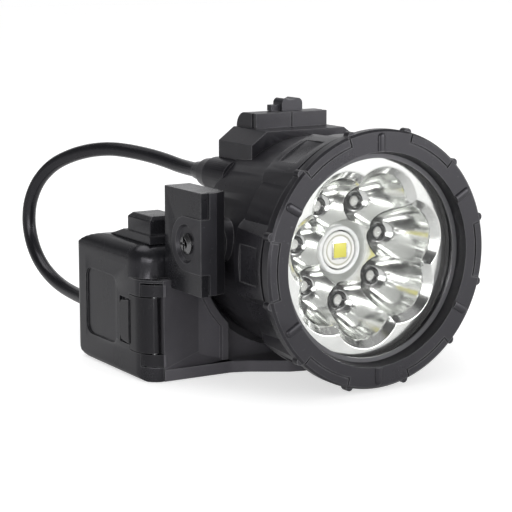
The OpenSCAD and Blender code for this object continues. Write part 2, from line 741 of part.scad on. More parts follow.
module cable_gland() color("#1d1d20") in_head() translate([gland_x, 0, gland_z - axis_z])
    rotate([-90, 0, 0]) {
        translate([0, 0, 66]) cylinder(r = 4, h = 5 + eps);
        translate([0, 0, 71]) cylinder(r1 = 6.2, r2 = 5.2, h = 7);
    }

module cable_boot() color("#151517") translate([gland_x, head_y + 78, gland_z])
    rotate([-90, 0, 0]) cylinder(r1 = 4.3, r2 = 3.3, h = boot_end_y - head_y - 78);

// A smooth tube swept along points, with its sides square to the path.
function unit(v) = v / norm(v);
function tangent(p, i) = unit(p[min(i + 1, len(p) - 1)] - p[max(i - 1, 0)]);
function ring_points(c, t, r, n) = let (
    side = unit(cross(t, [1, 0, 0])), up = cross(side, t))
    [for (k = [0:n - 1]) c + r * (cos(360 * k / n) * side + sin(360 * k / n) * up)];

module tube(points, r, n) {
    rings = len(points);
    polyhedron(
        points = [for (i = [0:rings - 1]) each ring_points(points[i], tangent(points, i), r, n)],
        faces = concat(
            [[for (k = [0:n - 1]) k]],
            [for (i = [0:rings - 2], k = [0:n - 1])
                [i * n + k, (i + 1) * n + k, (i + 1) * n + (k + 1) % n]],
            [for (i = [0:rings - 2], k = [0:n - 1])
                [i * n + k, (i + 1) * n + (k + 1) % n, i * n + (k + 1) % n]],
            [[for (k = [n - 1:-1:0]) (rings - 1) * n + k]]));
}

module cable() color("#1a1a1c") tube(cable_route, cable_d / 2, cable_sides);

battery_case();
front_panel();
case_gasket();
ear(-1);  // left_ear
ear(1);  // right_ear
ear_cap(-1);  // left_ear_cap
ear_cap(1);  // right_ear_cap
pivot_screws();
ear_screws();
latch_pins();
latch(-1);  // left_latch
latch(1);  // right_latch
top_lugs();
battery_cells();
cell_tray();
cell_contacts();
protection_board();
cable_inlet();
inlet_nut();
bezel();
grip_collar();
collar_seal();
lens();
lens_gasket();
reflector();
main_led();
small_leds();
led_board();
heat_sink();
driver_board();
head_housing();
pivot_inserts();
friction_washers();
rear_cap();
rear_gasket();
rear_screws();
switch_housing();
switch_plate();
slide_switch();
switch_knob();
cable_gland();
cable_boot();
cable();
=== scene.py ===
import json
import math
import bmesh
import bpy
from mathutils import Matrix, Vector


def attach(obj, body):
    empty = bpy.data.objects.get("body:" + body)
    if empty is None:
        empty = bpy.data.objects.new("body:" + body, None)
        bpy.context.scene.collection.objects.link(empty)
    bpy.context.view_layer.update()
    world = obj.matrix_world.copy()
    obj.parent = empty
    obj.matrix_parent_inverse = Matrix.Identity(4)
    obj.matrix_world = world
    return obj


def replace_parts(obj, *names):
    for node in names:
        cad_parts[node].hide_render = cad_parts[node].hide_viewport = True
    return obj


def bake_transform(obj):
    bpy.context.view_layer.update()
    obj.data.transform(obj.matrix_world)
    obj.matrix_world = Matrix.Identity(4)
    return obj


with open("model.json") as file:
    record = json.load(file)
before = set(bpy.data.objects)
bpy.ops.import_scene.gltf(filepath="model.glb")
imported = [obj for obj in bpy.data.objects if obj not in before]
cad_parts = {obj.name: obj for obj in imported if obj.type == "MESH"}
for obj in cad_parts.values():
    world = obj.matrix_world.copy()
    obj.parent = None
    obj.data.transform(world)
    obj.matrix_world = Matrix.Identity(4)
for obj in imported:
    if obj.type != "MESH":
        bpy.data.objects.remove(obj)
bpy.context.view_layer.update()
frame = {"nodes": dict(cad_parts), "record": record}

# A miner's cap lamp: a round head that tilts on a battery case, with its cable, in a white studio.

NODES = frame["nodes"]
SLOT_OF = {s["node"]: s["material_slot"] for s in frame["record"]["subparts"]}
BODY_OF = {n: b for b, members in frame["record"]["behaviour"]["bodies"].items() for n in members}
MM = 0.001
MERGE = 2e-6              # vertices nearer than this are one, m
HEAD_Y = -53.0            # the bezel's front face, mm
AXIS_Z = 46.0             # the lamp's axis, mm
scene = bpy.context.scene


def link(obj):
    scene.collection.objects.link(obj)
    return obj


# ---------------------------------------------------------------- camera

CAMERA_AT = Vector((-0.3358, -0.5178, 0.1495))
CAMERA_LOOKS = Vector((0.5159, 0.8385, -0.1754))
camera = link(bpy.data.objects.new("camera", bpy.data.cameras.new("camera")))
camera.location = CAMERA_AT
camera.rotation_euler = CAMERA_LOOKS.to_track_quat("-Z", "Y").to_euler()
camera.data.sensor_width = 36.0
camera.data.lens = 119.53
camera.data.clip_start = 0.01
camera.data.clip_end = 20.0
scene.camera = camera


# ---------------------------------------------------------------- node trees

class Nodes:
    """A node tree, with short ways to add nodes and join them."""

    def __init__(self, tree):
        self.tree = tree
        self.tree.nodes.clear()
        self.coords = None

    def link(self, a, b):
        self.tree.links.new(a, b)

    def feed(self, socket, value):
        """Gives a socket a number, a colour or vector, or another node's output."""
        if isinstance(value, (int, float)):
            socket.default_value = value
        elif isinstance(value, (tuple, list)):
            socket.default_value = (*value, 1.0) if socket.type == "RGBA" and len(value) == 3 else value
        else:
            self.link(value, socket)

    def add(self, kind, inputs=None, **props):
        """A new node with its properties set, and then its inputs fed by name or index."""
        node = self.tree.nodes.new(kind)
        for key, value in props.items():
            setattr(node, key, value)
        for key, value in (inputs or {}).items():
            self.feed(node.inputs[key], value)
        return node

    def where(self):
        """The object's own coordinates."""
        if self.coords is None:
            self.coords = self.add("ShaderNodeTexCoord").outputs["Object"]
        return self.coords

    def noise(self, scale, detail=2.0, rough=0.5, stretch=None):
        place = self.where()
        if stretch:
            place = self.add("ShaderNodeMapping", {"Vector": place, "Scale": stretch}).outputs[0]
        return self.add("ShaderNodeTexNoise", {"Vector": place, "Scale": scale, "Detail": detail,
                                               "Roughness": rough}).outputs["Fac"]

    def ramp(self, value, low, high, to_low=0.0, to_high=1.0):
        """Maps low..high to to_low..to_high, and no further."""
        return self.add("ShaderNodeMapRange", {"Value": value, "From Min": low, "From Max": high,
                                               "To Min": to_low, "To Max": to_high}).outputs[0]

    def math(self, kind, a, b):
        return self.add("ShaderNodeMath", {0: a, 1: b}, operation=kind).outputs[0]

    def mix(self, fac, a, b):
        """Colour a where fac is 0, colour b where it is 1."""
        return self.add("ShaderNodeMix", {0: fac, 6: a, 7: b}, data_type="RGBA").outputs[2]

    def edges(self, radius):
        """1 along convex and concave edges, 0 on open faces."""
        rounded = self.add("ShaderNodeBevel", {"Radius": radius}, samples=6).outputs[0]
        flat = self.add("ShaderNodeNewGeometry").outputs["Normal"]
        alike = self.add("ShaderNodeVectorMath", {0: rounded, 1: flat}, operation="DOT_PRODUCT")
        return self.ramp(alike.outputs["Value"], 0.995, 0.86)

    def bump(self, height, distance, strength, under=None):
        """A bumped normal, on top of another one where under is given."""
        inputs = {"Height": height, "Distance": distance, "Strength": strength}
        if under is not None:
            inputs["Normal"] = under
        return self.add("ShaderNodeBump", inputs).outputs[0]


class Surface(Nodes):
    """A material on one Principled shader."""

    def __init__(self, name):
        self.mat = bpy.data.materials.new(name)
        self.mat.use_nodes = True
        super().__init__(self.mat.node_tree)
        self.bsdf = self.add("ShaderNodeBsdfPrincipled")
        self.out = self.add("ShaderNodeOutputMaterial", {"Surface": self.bsdf.outputs[0]})

    def set(self, **values):
        """Feeds the shader's inputs, named with _ in place of a space."""
        for key, value in values.items():
            self.feed(self.bsdf.inputs[key.replace("_", " ")], value)


# ---------------------------------------------------------------- materials

SHEEN = (0.95, 0.93, 1.0)         # black plastic and rubber shine slightly blue
SPARK_GRAIN = 0.00042             # size of the moulded plastic's texture, m
RUBBER_GRAIN = 0.0006
FINE_GRAIN = 0.0005
EDGE_HIGHLIGHT_REACH = 0.00055              # how far the painted edge highlight comes in from an edge, m


def darker(colour, part):
    return tuple(c * part for c in colour)


def moulded_plastic(name, base, speck_and_highlight, rough, shine=0.5):
    """Moulded plastic: fine spark texture, soft unevenness, edges painted paler as a highlight."""
    n = Surface(name)
    patches = n.noise(70.0, 4.0, 0.6)
    fine = n.noise(1.0 / SPARK_GRAIN, 2.0, 0.55)
    specks = n.ramp(n.noise(900.0, 1.0), 0.70, 0.78)
    smears = n.noise(38.0, 3.0, 0.6, stretch=(1.0, 2.4, 0.7))
    edge = n.math("MULTIPLY", n.edges(EDGE_HIGHLIGHT_REACH), n.ramp(patches, 0.30, 0.58, 0.25, 1.0))
    colour = n.mix(n.ramp(patches, 0.3, 0.7), darker(base, 0.80), base)
    colour = n.mix(n.math("MULTIPLY", specks, 0.10), colour, speck_and_highlight)
    # Painted highlight: every edge is mixed toward the pale colour.
    colour = n.mix(n.math("MULTIPLY", edge, 0.45), colour, speck_and_highlight)
    dull = n.ramp(smears, 0.25, 0.75, rough - 0.05, rough + 0.07)
    dull = n.math("SUBTRACT", dull, n.math("MULTIPLY", edge, 0.08))
    dull = n.math("ADD", dull, n.ramp(fine, 0.3, 0.7, -0.03, 0.03))
    waves = n.bump(n.noise(160.0, 2.0, 0.4), 0.00003, 0.5)
    n.set(Base_Color=colour, Roughness=dull, Normal=n.bump(fine, 0.000012, 0.7, waves),
          Specular_IOR_Level=shine, Specular_Tint=SHEEN)
    return n.mat


def rubber(name, base, rough):
    """Black or grey rubber with a little dust."""
    n = Surface(name)
    patches = n.noise(60.0, 3.0, 0.6)
    dust = n.ramp(n.noise(520.0, 2.0), 0.66, 0.80)
    clean = n.mix(patches, darker(base, 0.8), base)
    dusty = tuple(c * 4 + 0.03 for c in base)
    n.set(Base_Color=n.mix(n.math("MULTIPLY", dust, 0.16), clean, dusty),
          Roughness=n.ramp(patches, 0.3, 0.7, rough - 0.05, rough + 0.06),
          Normal=n.bump(n.noise(1.0 / RUBBER_GRAIN, 3.0, 0.6), 0.00001, 0.6),
          Specular_IOR_Level=0.5, Specular_Tint=SHEEN)
    return n.mat


def glass(name, tint, rough):
    """Solid clear epoxy, with faint waves."""
    n = Surface(name)
    n.set(Base_Color=tint, Roughness=rough, IOR=1.5, Transmission_Weight=1.0,
          Normal=n.bump(n.noise(300.0, 2.0), 0.000006, 0.3))
    return n.mat


def metal(name, base, rough):
    """Bare or plated metal, slightly uneven."""
    n = Surface(name)
    lines = n.noise(900.0, 3.0, 0.6)
    patches = n.noise(120.0, 3.0, 0.6)
    n.set(Base_Color=n.mix(n.ramp(patches, 0.3, 0.7), darker(base, 0.82), base), Metallic=1.0,
          Roughness=n.math("ADD", n.ramp(lines, 0.3, 0.7, -0.05, 0.05),
                           n.ramp(patches, 0.3, 0.7, rough - 0.04, rough + 0.05)),
          Normal=n.bump(lines, 0.000004, 0.5))
    return n.mat


def chromed(name, dark, pale):
    """Vacuum-metallised plastic: a slightly hazy mirror with faint flow lines."""
    n = Surface(name)
    haze = n.noise(240.0, 3.0, 0.55)
    n.set(Base_Color=n.mix(haze, dark, pale), Roughness=n.ramp(haze, 0.3, 0.7, 0.11, 0.17), Metallic=1.0,
          Normal=n.bump(n.noise(150.0, 2.0, 0.4), 0.00002, 0.35))
    return n.mat


def clear(name, tint, rough):
    """A clear shell: what is behind it shows, with a Fresnel gloss on its outer side."""
    n = Surface(name)
    fresnel = n.add("ShaderNodeFresnel", {"IOR": 1.45}).outputs[0]
    leaving = n.add("ShaderNodeNewGeometry").outputs["Backfacing"]
    gloss = n.math("MULTIPLY", fresnel, n.math("SUBTRACT", 1.0, leaving))
    smudge = n.noise(45.0, 4.0, 0.6)
    n.set(Base_Color=tint, Metallic=1.0, Roughness=n.ramp(smudge, 0.3, 0.7, rough, rough + 0.05),
          Alpha=n.math("MAXIMUM", n.math("MINIMUM", gloss, 1.0), 0.0))
    return n.mat


def plain(name, base, rough):
    """Any other solid: an even colour with fine unevenness."""
    n = Surface(name)
    patches = n.noise(90.0, 3.0, 0.6)
    n.set(Base_Color=n.mix(patches, darker(base, 0.85), base),
          Roughness=n.ramp(patches, 0.3, 0.7, rough - 0.05, rough + 0.05),
          Normal=n.bump(n.noise(1.0 / FINE_GRAIN, 2.0), 0.000006, 0.5))
    return n.mat


# Moulded plastics: base colour, pale colour for specks and the painted edge highlight, roughness, shine. The
# mirror: its two tones.
# The others: colour, roughness.
RECIPES = {
    "case_plastic": (moulded_plastic, (0.013, 0.013, 0.015), (0.23, 0.23, 0.235), 0.23, 0.42),
    "latch_plastic": (moulded_plastic, (0.006, 0.006, 0.007), (0.13, 0.13, 0.135), 0.21, 0.42),
    "head_plastic": (moulded_plastic, (0.013, 0.0125, 0.015), (0.24, 0.24, 0.245), 0.31),
    "knob_plastic": (moulded_plastic, (0.020, 0.020, 0.024), (0.16, 0.16, 0.17), 0.31),
    "cap_plastic": (moulded_plastic, (0.019, 0.0187, 0.022), (0.24, 0.24, 0.245), 0.38),
    # A paler copy of the case plastic: painted light on the front panel, which the head shades.
    "panel_plastic": (moulded_plastic, (0.082, 0.079, 0.088), (0.22, 0.22, 0.225), 0.50),
    # A darker copy of the head plastic: painted shade in the bezel's throat.
    "throat_plastic": (moulded_plastic, (0.004, 0.004, 0.005), (0.05, 0.05, 0.052), 0.42),
    "inner_plastic": (plain, (0.02, 0.02, 0.02), 0.5),
    "seal_rubber": (rubber, (0.012, 0.012, 0.013), 0.6),
    "gasket_grey": (rubber, (0.10, 0.10, 0.105), 0.35),
    "cable_rubber": (rubber, (0.011, 0.011, 0.013), 0.24),
    "black_screw": (metal, (0.24, 0.24, 0.245), 0.26),
    "steel": (metal, (0.55, 0.55, 0.56), 0.30),
    "brass": (metal, (0.72, 0.55, 0.25), 0.30),
    "aluminium": (metal, (0.65, 0.65, 0.67), 0.38),
    "cell_wrap": (plain, (0.05, 0.14, 0.38), 0.30),
    "circuit_board": (plain, (0.02, 0.14, 0.05), 0.40),
    "dark_board": (plain, (0.015, 0.015, 0.016), 0.25),
    "lens_clear": (clear, (1.0, 1.0, 1.0), 0.02),
    "mirror_coat": (chromed, (0.70, 0.71, 0.69), (0.84, 0.85, 0.83)),
    "led_clear": (glass, (0.93, 0.94, 0.93), 0.01),
    "led_phosphor": (plain, (0.78, 0.72, 0.09), 0.30),
    "led_white": (plain, (0.93, 0.93, 0.90), 0.20),
    "led_ring": (plain, (0.88, 0.89, 0.88), 0.10),
    "frame_metal": (metal, (0.62, 0.62, 0.60), 0.28),
    "groove_tan": (plain, (0.50, 0.49, 0.40), 0.30),
    "chip_pale": (plain, (0.74, 0.74, 0.71), 0.25),
    # Near-black for the small lamps' collars and floors: painted shade in their holes.
    "collar_black": (plain, (0.004, 0.004, 0.004), 0.22)}
MATERIALS = {name: make(name, *values) for name, (make, *values) in RECIPES.items()}


def paint(obj, material):
    obj.data.materials.clear()
    obj.data.materials.append(MATERIALS[material])


def repaint(obj, material, chosen):
    """Gives a second material to the faces whose centres, in mm, are chosen."""
    obj.data.materials.append(MATERIALS[material])
    for face in obj.data.polygons:
        if chosen(face.center / MM):
            face.material_index = 1


for node, obj in NODES.items():
    paint(obj, SLOT_OF[node])


# ---------------------------------------------------------------- the cable

CABLE_D = 0.0055
CABLE_ROUTE = [
    (-23, 32, 69.5), (-23, 38, 69.5), (-23.4, 46, 69.9), (-24.4, 54, 70.9),
    (-25.9, 61.5, 71.8), (-27.9, 69, 72.5), (-30.3, 76, 73), (-33, 83, 73.1),
    (-36, 90, 72.4), (-39, 96.5, 71), (-42, 103, 68.8), (-45, 110, 65.4),
    (-47.5, 115.5, 61), (-49.5, 119.8, 55.5), (-51, 122.6, 48.5), (-51.6, 123.3, 41),
    (-51.6, 121.6, 34), (-51.4, 117.5, 28), (-51, 111.5, 23.2), (-50.6, 103.5, 19.7),
    (-50.2, 94, 17.4), (-50, 83, 16.3), (-50, 72, 16), (-50, 64, 16)]


def smooth_route(points, steps=6):
    """A Catmull-Rom curve through the points, in metres."""
    pts = [Vector(p) for p in points]
    pts = [2 * pts[0] - pts[1]] + pts + [2 * pts[-1] - pts[-2]]
    out = []
    for i in range(1, len(pts) - 2):
        a, b, c, d = pts[i - 1:i + 3]
        for k in range(steps):
            t = k / steps
            out.append(0.5 * ((2 * b) + (c - a) * t + (2 * a - 5 * b + 4 * c - d) * t * t
                              + (3 * b - a - 3 * c + d) * t ** 3))
    out.append(pts[-2].copy())
    return [p * MM for p in out]


def tube(name, line, diameter):
    """A round mesh tube along a line, closed at both ends."""
    curve = bpy.data.curves.new(name + "_line", "CURVE")
    curve.dimensions = "3D"
    curve.bevel_depth = diameter / 2
    curve.bevel_resolution = 8
    curve.use_fill_caps = True
    spline = curve.splines.new("POLY")
    spline.points.add(len(line) - 1)
    for point, co in zip(spline.points, line):
        point.co = (*co, 1.0)
    spline.use_smooth = True
    guide = bpy.data.objects.new(name + "_line", curve)
    mesh = bpy.data.meshes.new_from_object(guide)
    mesh.name = name
    mesh.shade_smooth()
    bpy.data.objects.remove(guide)
    return link(bpy.data.objects.new(name, mesh))


route = smooth_route(CABLE_ROUTE)
cable = tube("cable_sheath", route, CABLE_D)
paint(cable, "cable_rubber")
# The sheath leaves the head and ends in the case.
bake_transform(cable)
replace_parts(cable, "cable")


# ---------------------------------------------------------------- bevelled copies of the CAD nodes

BACK_Y = 0.0538                                    # the case's back face, m
BACK_TOP = (0.039, 1, 0.018, 0.009)                # where its rounding starts, up, reach, rise, m
BACK_BOTTOM = (0.009, -1, 0.012, 0.009)            # the same, down
WALL = 0.0027                                      # the hollow's corners are this much tighter
CAVITY_X, CAVITY_Y = 0.0616, 0.0515                # the hollow's half width and back
CAVITY_Z = (0.0024, 0.0456)                        # the hollow's floor and ceiling
EAR_TOP_Z, EAR_LIFT = 0.062, 0.0016                # above this an ear is lifted, and by how much
PROUD_Y = HEAD_Y - 0.1                             # only the bezel's ribs stand in front of this, mm
SUNK_Y = HEAD_Y + 0.03                             # just behind the bezel's face, mm
SHARP = 28.0                                       # an edge that turns more than this is rounded, degrees


def round_back(bm):
    """Gives the battery case's back the wide top and bottom corners of its side outline."""
    for start, up, reach, rise in (BACK_TOP, BACK_BOTTOM):
        middle = BACK_Y - reach
        for k in range(9):
            angle = math.radians(10 * k)
            for co, no in (((0, middle + reach * math.sin(angle), 0), (0, 1, 0)),
                           ((0, 0, start + up * rise * math.cos(angle)), (0, 0, 1))):
                bmesh.ops.bisect_plane(bm, geom=bm.verts[:] + bm.edges[:] + bm.faces[:], dist=1e-7,
                                       plane_co=co, plane_no=no)
        for v in bm.verts:
            y, z = v.co.y - middle, (v.co.z - start) * up
            if y <= 0 or z <= 0:
                continue
            inside = (abs(v.co.x) < CAVITY_X and v.co.y < CAVITY_Y
                      and CAVITY_Z[0] < v.co.z < CAVITY_Z[1])
            a, b = (reach - WALL, rise - WALL) if inside else (reach, rise)
            out = math.hypot(y / a, z / b)
            if out > 1:
                v.co.y = middle + y / out
                v.co.z = start + up * z / out


def raise_top(bm):
    """Lifts an ear's top edge a little."""
    for v in bm.verts:
        if v.co.z > EAR_TOP_Z:
            v.co.z += EAR_LIFT


def flush_ribs(bm):
    """Sinks the bezel's plain ribs into its face; rounded ones stand there instead."""
    for v in bm.verts:
        if v.co.y < PROUD_Y * MM:
            v.co.y = SUNK_Y * MM


def smoothed(mesh, angle):
    """Shades a mesh smooth, apart from edges sharper than an angle in degrees."""
    mesh.shade_smooth()
    mesh.set_sharp_from_angle(angle=math.radians(angle))
    return mesh


def dress(node, width, shape=None):
    """Stands a copy of the node, with edges rounded to a width in mm, in the node's place."""
    mesh = NODES[node].data.copy()
    bm = bmesh.new()
    bm.from_mesh(mesh)
    bmesh.ops.remove_doubles(bm, verts=bm.verts, dist=MERGE)
    bmesh.ops.dissolve_limit(bm, angle_limit=math.radians(0.6), verts=bm.verts, edges=bm.edges)
    if shape:
        shape(bm)
    bm.to_mesh(mesh)
    bm.free()
    obj = link(bpy.data.objects.new(node + "_shell", smoothed(mesh, SHARP)))
    paint(obj, SLOT_OF[node])
    bevel = obj.modifiers.new("round", "BEVEL")
    bevel.width = width * MM
    bevel.segments = 3
    bevel.limit_method = "ANGLE"
    bevel.angle_limit = math.radians(SHARP)
    bevel.harden_normals = True
    bevel.use_clamp_overlap = True
    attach(obj, BODY_OF[node])
    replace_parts(obj, node)
    return obj


ROUNDED = {
    "battery_case": 0.35, "front_panel": 0.3, "top_lugs": 0.4, "left_ear": 0.35, "right_ear": 0.35,
    "left_ear_cap": 0.35, "right_ear_cap": 0.35, "left_latch": 0.3, "right_latch": 0.3,
    "bezel": 0.35, "grip_collar": 0.4, "head_housing": 0.4, "rear_cap": 0.4,
    "switch_housing": 0.5, "switch_plate": 0.4, "switch_knob": 0.35, "cable_gland": 0.3,
    "pivot_screws": 0.15}
SHAPED = {"battery_case": round_back, "left_ear": raise_top, "right_ear": raise_top,
          "left_ear_cap": raise_top, "right_ear_cap": raise_top, "bezel": flush_ribs}
shells = {node: dress(node, width, SHAPED.get(node)) for node, width in ROUNDED.items()}

LUG_X = 57.0              # outside this the front panel is the lugs that hold the latches, mm
THROAT_R = 37.6           # the bezel's wall down to the lens lies within this, mm
paint(shells["left_ear_cap"], "cap_plastic")
paint(shells["right_ear_cap"], "cap_plastic")
# The front panel gets the paler copy of the case plastic: painted light where the head keeps light off it.
paint(shells["front_panel"], "panel_plastic")
repaint(shells["front_panel"], "latch_plastic", lambda at: abs(at.x) > LUG_X)
# The bezel's wall down to the lens is painted near-black: painted shade in the recess.
repaint(shells["bezel"], "throat_plastic",
        lambda at: math.hypot(at.x, at.z - AXIS_Z) < THROAT_R and at.y > HEAD_Y + 0.3)


# ---------------------------------------------------------------- the bay and the bezel's ribs

def on_head(x, d, z):
    """A point of the head: across, depth behind the bezel's face, height above the lamp's axis (mm)."""
    return Vector((x, HEAD_Y + d, AXIS_Z + z)) * MM


def piece(name, bm, node, material=None, smooth=30.0):
    """Turns a bmesh into a piece that rides with a node, painted in the given material, or else in the
    material of the node's slot.
    """
    mesh = bpy.data.meshes.new(name)
    bm.normal_update()
    bm.to_mesh(mesh)
    bm.free()
    obj = link(bpy.data.objects.new(name, smoothed(mesh, smooth)))
    paint(obj, material or SLOT_OF[node])
    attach(obj, BODY_OF[node])
    return obj


def stand(name, bm, node, material=None, smooth=30.0):
    """A piece that stands in the node's place."""
    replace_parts(piece(name, bm, node, material, smooth), node)


def sew(bm, rows):
    """Faces between closed rows of vertices, each row with as many as the next, and over both ends."""
    for a, b in zip(rows, rows[1:]):
        for i in range(len(a)):
            j = (i + 1) % len(a)
            bm.faces.new((a[i], a[j], b[j], b[i]))
    bm.faces.new(rows[0][::-1])
    bm.faces.new(rows[-1])


# The front panel's wings run on round the bay, and sweep into the foot. All in mm.
WING_X, BAY_X = 56.5, 29.0                         # half widths over the wings and of the bay
WING_FRONT_Y, BAY_FRONT_Y = -2.35, 5.0             # the wall's front at the wing's end and at the bay
FOOT_BOTTOM, FOOT_TOP, FOOT_SWEEP = 0.03, 4.2, 4.6
FOOT_NOSE = 0.3                                    # chamfer along the foot's front
BAY_R = 40.6                                       # the bay's round edge, about the lamp's axis
BAY_THICK, WING_THICK = 3.0, 0.4
FOOT_EDGE = [(30.0, -3.3), (24.0, -5.5), (18.0, -9.2), (11.0, -13.5), (6.0, -15.0), (0.0, -15.0)]


def foot_edge(x):
    """Y of the foot's front edge."""
    x = abs(x)
    if x >= FOOT_EDGE[0][0]:
        return FOOT_EDGE[0][1] + 0.6 * (x - FOOT_EDGE[0][0]) / (WING_X - FOOT_EDGE[0][0])
    for (x1, y1), (x0, y0) in zip(FOOT_EDGE, FOOT_EDGE[1:]):
        if x >= x0:
            return y0 + (y1 - y0) * (x - x0) / (x1 - x0)


def web_section(x):
    """(y, z) outline of the foot and wall at x: up the foot's front, through the sweep, down the back."""
    wing = max(abs(x) - BAY_X, 0.0) / (WING_X - BAY_X)
    wall = BAY_FRONT_Y + (WING_FRONT_Y - BAY_FRONT_Y) * wing
    front = foot_edge(x) - 0.05
    sweep = max(min(FOOT_SWEEP, (wall - front) * 0.8), 0.2)
    back = wall + (BAY_THICK if abs(x) <= BAY_X else WING_THICK)
    lip = AXIS_Z - math.sqrt(BAY_R ** 2 - x * x) if abs(x) <= BAY_X + 0.6 else FOOT_TOP + sweep
    top = max(lip, FOOT_TOP + 0.02)
    turns = [math.radians(10 * j) for j in range(10)]
    side = [(front, FOOT_BOTTOM), (front, FOOT_TOP - FOOT_NOSE), (front + FOOT_NOSE, FOOT_TOP)]
    side += [(wall - sweep * (1 - math.sin(a)), FOOT_TOP + sweep * (1 - math.cos(a))) for a in turns]
    side += [(wall, lip), (back, lip), (back, FOOT_BOTTOM)]
    return [(y, min(z, top)) for y, z in side]


def bay_web():
    bm = bmesh.new()
    columns = [-WING_X + k for k in range(round(2 * WING_X) + 1)]
    sew(bm, [[bm.verts.new(Vector((x, y, z)) * MM) for y, z in web_section(x)] for x in columns])
    bmesh.ops.remove_doubles(bm, verts=bm.verts, dist=MERGE)
    bmesh.ops.recalc_face_normals(bm, faces=bm.faces)
    # The web is in the paler panel copy too: painted light under the head.
    piece("bay_web", bm, "front_panel", "panel_plastic", 35.0)


RIB_COUNT = 6
RIB_HALF_W, RIB_H = 1.5, 0.75                      # mm
RIB_IN_R, RIB_OUT_R = 37.5, 43.9                   # mm from the lamp's axis


def rib_section(a, r, part):
    """Points of a half-round rib's section at radius r, on the side a of the bezel, scaled by part."""
    arch = [(math.cos(math.radians(p)), math.sin(math.radians(p))) for p in range(0, 181, 15)]
    points = []
    for across, up in [(1.0, -0.4)] + arch + [(-1.0, -0.4)]:
        aside = RIB_HALF_W * part * across
        points.append(on_head(math.sin(a) * r + math.cos(a) * aside,
                              -RIB_H * part * up if up > 0 else -RIB_H * up,
                              math.cos(a) * r - math.sin(a) * aside))
    return points


def bezel_ribs():
    """Half-round ribs with round outer ends, evenly round the bezel's face."""
    bm = bmesh.new()
    stations = [(RIB_IN_R, 1.0)]
    for j in range(7):
        t = math.radians(15 * j)
        stations.append((RIB_OUT_R - RIB_HALF_W * (1 - math.sin(t)), max(math.cos(t), 0.02)))
    for k in range(RIB_COUNT):
        a = math.radians(360 / RIB_COUNT * k)
        sew(bm, [[bm.verts.new(p) for p in rib_section(a, r, part)] for r, part in stations])
    bmesh.ops.recalc_face_normals(bm, faces=bm.faces)
    piece("bezel_ribs", bm, "bezel", "head_plastic", 50.0)


bay_web()
bezel_ribs()


# ---------------------------------------------------------------- the reflector

LED_COUNT = 7
LED_START = math.radians(23.5)
LED_STEP = 2 * math.pi / LED_COUNT
LED_R = 18.3               # the small lamps' circle
SMALL_HOLE = 3.5           # radius of a small lamp's hole
MAIN_HOLE = 8.9            # radius of the main lamp's hole
HOLE_STEP = 0.1            # the hole narrows by this below the cup
CUP_FLOOR = 27.0           # depths behind the bezel's face
RIM_D = 8.0
HOLE_END = 27.1
RIM_R = 34.2               # outer radius of the flat rim
SKIRT = [(RIM_R, 8.9), (36.8, 8.9), (36.8, 9.9), (35.0, 10.5), (34.4, HOLE_END)]    # radius, depth
CUP_R = 12.2               # radius of a plain small cup at the rim
CUP_K = (CUP_R ** 2 - SMALL_HOLE ** 2) / (CUP_FLOOR - RIM_D)
CUP_POWER = 1.28           # 1 is a paraboloid; more is flatter round the lamp
MOUTH_R = 14.2             # a lip of about 45 degrees widens each cup's mouth to here
LIP_SLOPE = 1.02           # depth gained per mm inward from there
RIDGE = 0.30               # softness of the ridges between cups
SHARED_U = (LED_R ** 2 + MAIN_HOLE ** 2 - SMALL_HOLE ** 2) / (2 * LED_R)    # the main cup ends here
led_axes = [(LED_R * math.sin(LED_START + k * LED_STEP), LED_R * math.cos(LED_START + k * LED_STEP))
            for k in range(LED_COUNT)]

# Rings of vertices in a cup: parts of the way from the hole to the edge or, negative, mm short of it.
SMALL_RINGS = [0, 0.05, 0.1, 0.16, 0.22, 0.29, 0.36, 0.43, 0.5, 0.57, 0.63, 0.68, 0.71, 0.728, 0.74, 0.752,
               0.765, 0.785, 0.82, 0.89, -0.5, -0.30, -0.16, -0.08, -0.03, 1]
MAIN_RINGS = [0, 0.25, 0.5, 0.75, -0.16, -0.08, -0.03, 1]
RIM_RINGS = [0.06, 0.14, 0.26, 0.42, 0.6, 0.8, 1.0]
# Vertices of a ring: over the mouth, along each neighbour, and along the main cup.
MOUTH_STEPS, SIDE_STEPS, MAIN_STEPS = 44, 26, 22


def soft_max(a, b, w):
    return max(a, b) + max(w - abs(a - b), 0.0) ** 2 / (4 * w)


def bowl(x, z, cx, cz, h):
    """Depth of one cup: flatter than a paraboloid round its lamp, steeper at its mouth."""
    up = ((x - cx) ** 2 + (z - cz) ** 2 - h * h) / CUP_K / (CUP_FLOOR - RIM_D)
    return CUP_FLOOR - (CUP_FLOOR - RIM_D) * (up ** CUP_POWER if up > 0 else up)


def reflector_depth(x, z):
    """Depth of the mirror at a place: cups that meet in softened ridges, with a lip and a flat rim."""
    cups = [(0.0, 0.0, MAIN_HOLE)] + [(*c, SMALL_HOLE) for c in led_axes]
    depths = sorted((bowl(x, z, cx, cz, h) for cx, cz, h in cups), reverse=True)
    d = depths[0]
    for other in depths[1:3]:
        d = soft_max(d, other, RIDGE)
    lip = max(RIM_D + (MOUTH_R - math.hypot(x - cx, z - cz)) * LIP_SLOPE for cx, cz in led_axes)
    if lip > d - 1.0:
        d = soft_max(d, lip, RIDGE)
    return soft_max(d, RIM_D, 0.25)


def spread(a, b, n):
    """n even steps from a, short of b."""
    return [a + (b - a) * k / n for k in range(n)]


def ring_radius(t, hole, reach, gap):
    """Radius of ring t between a hole and the cup's edge, kept a gap short of the edge's own rings."""
    r = reach + t if t < 0 else hole + (reach - hole) * t
    if 0 < t < 1:
        r = min(r, reach - gap + 0.01 * t)
    return max(r, hole)


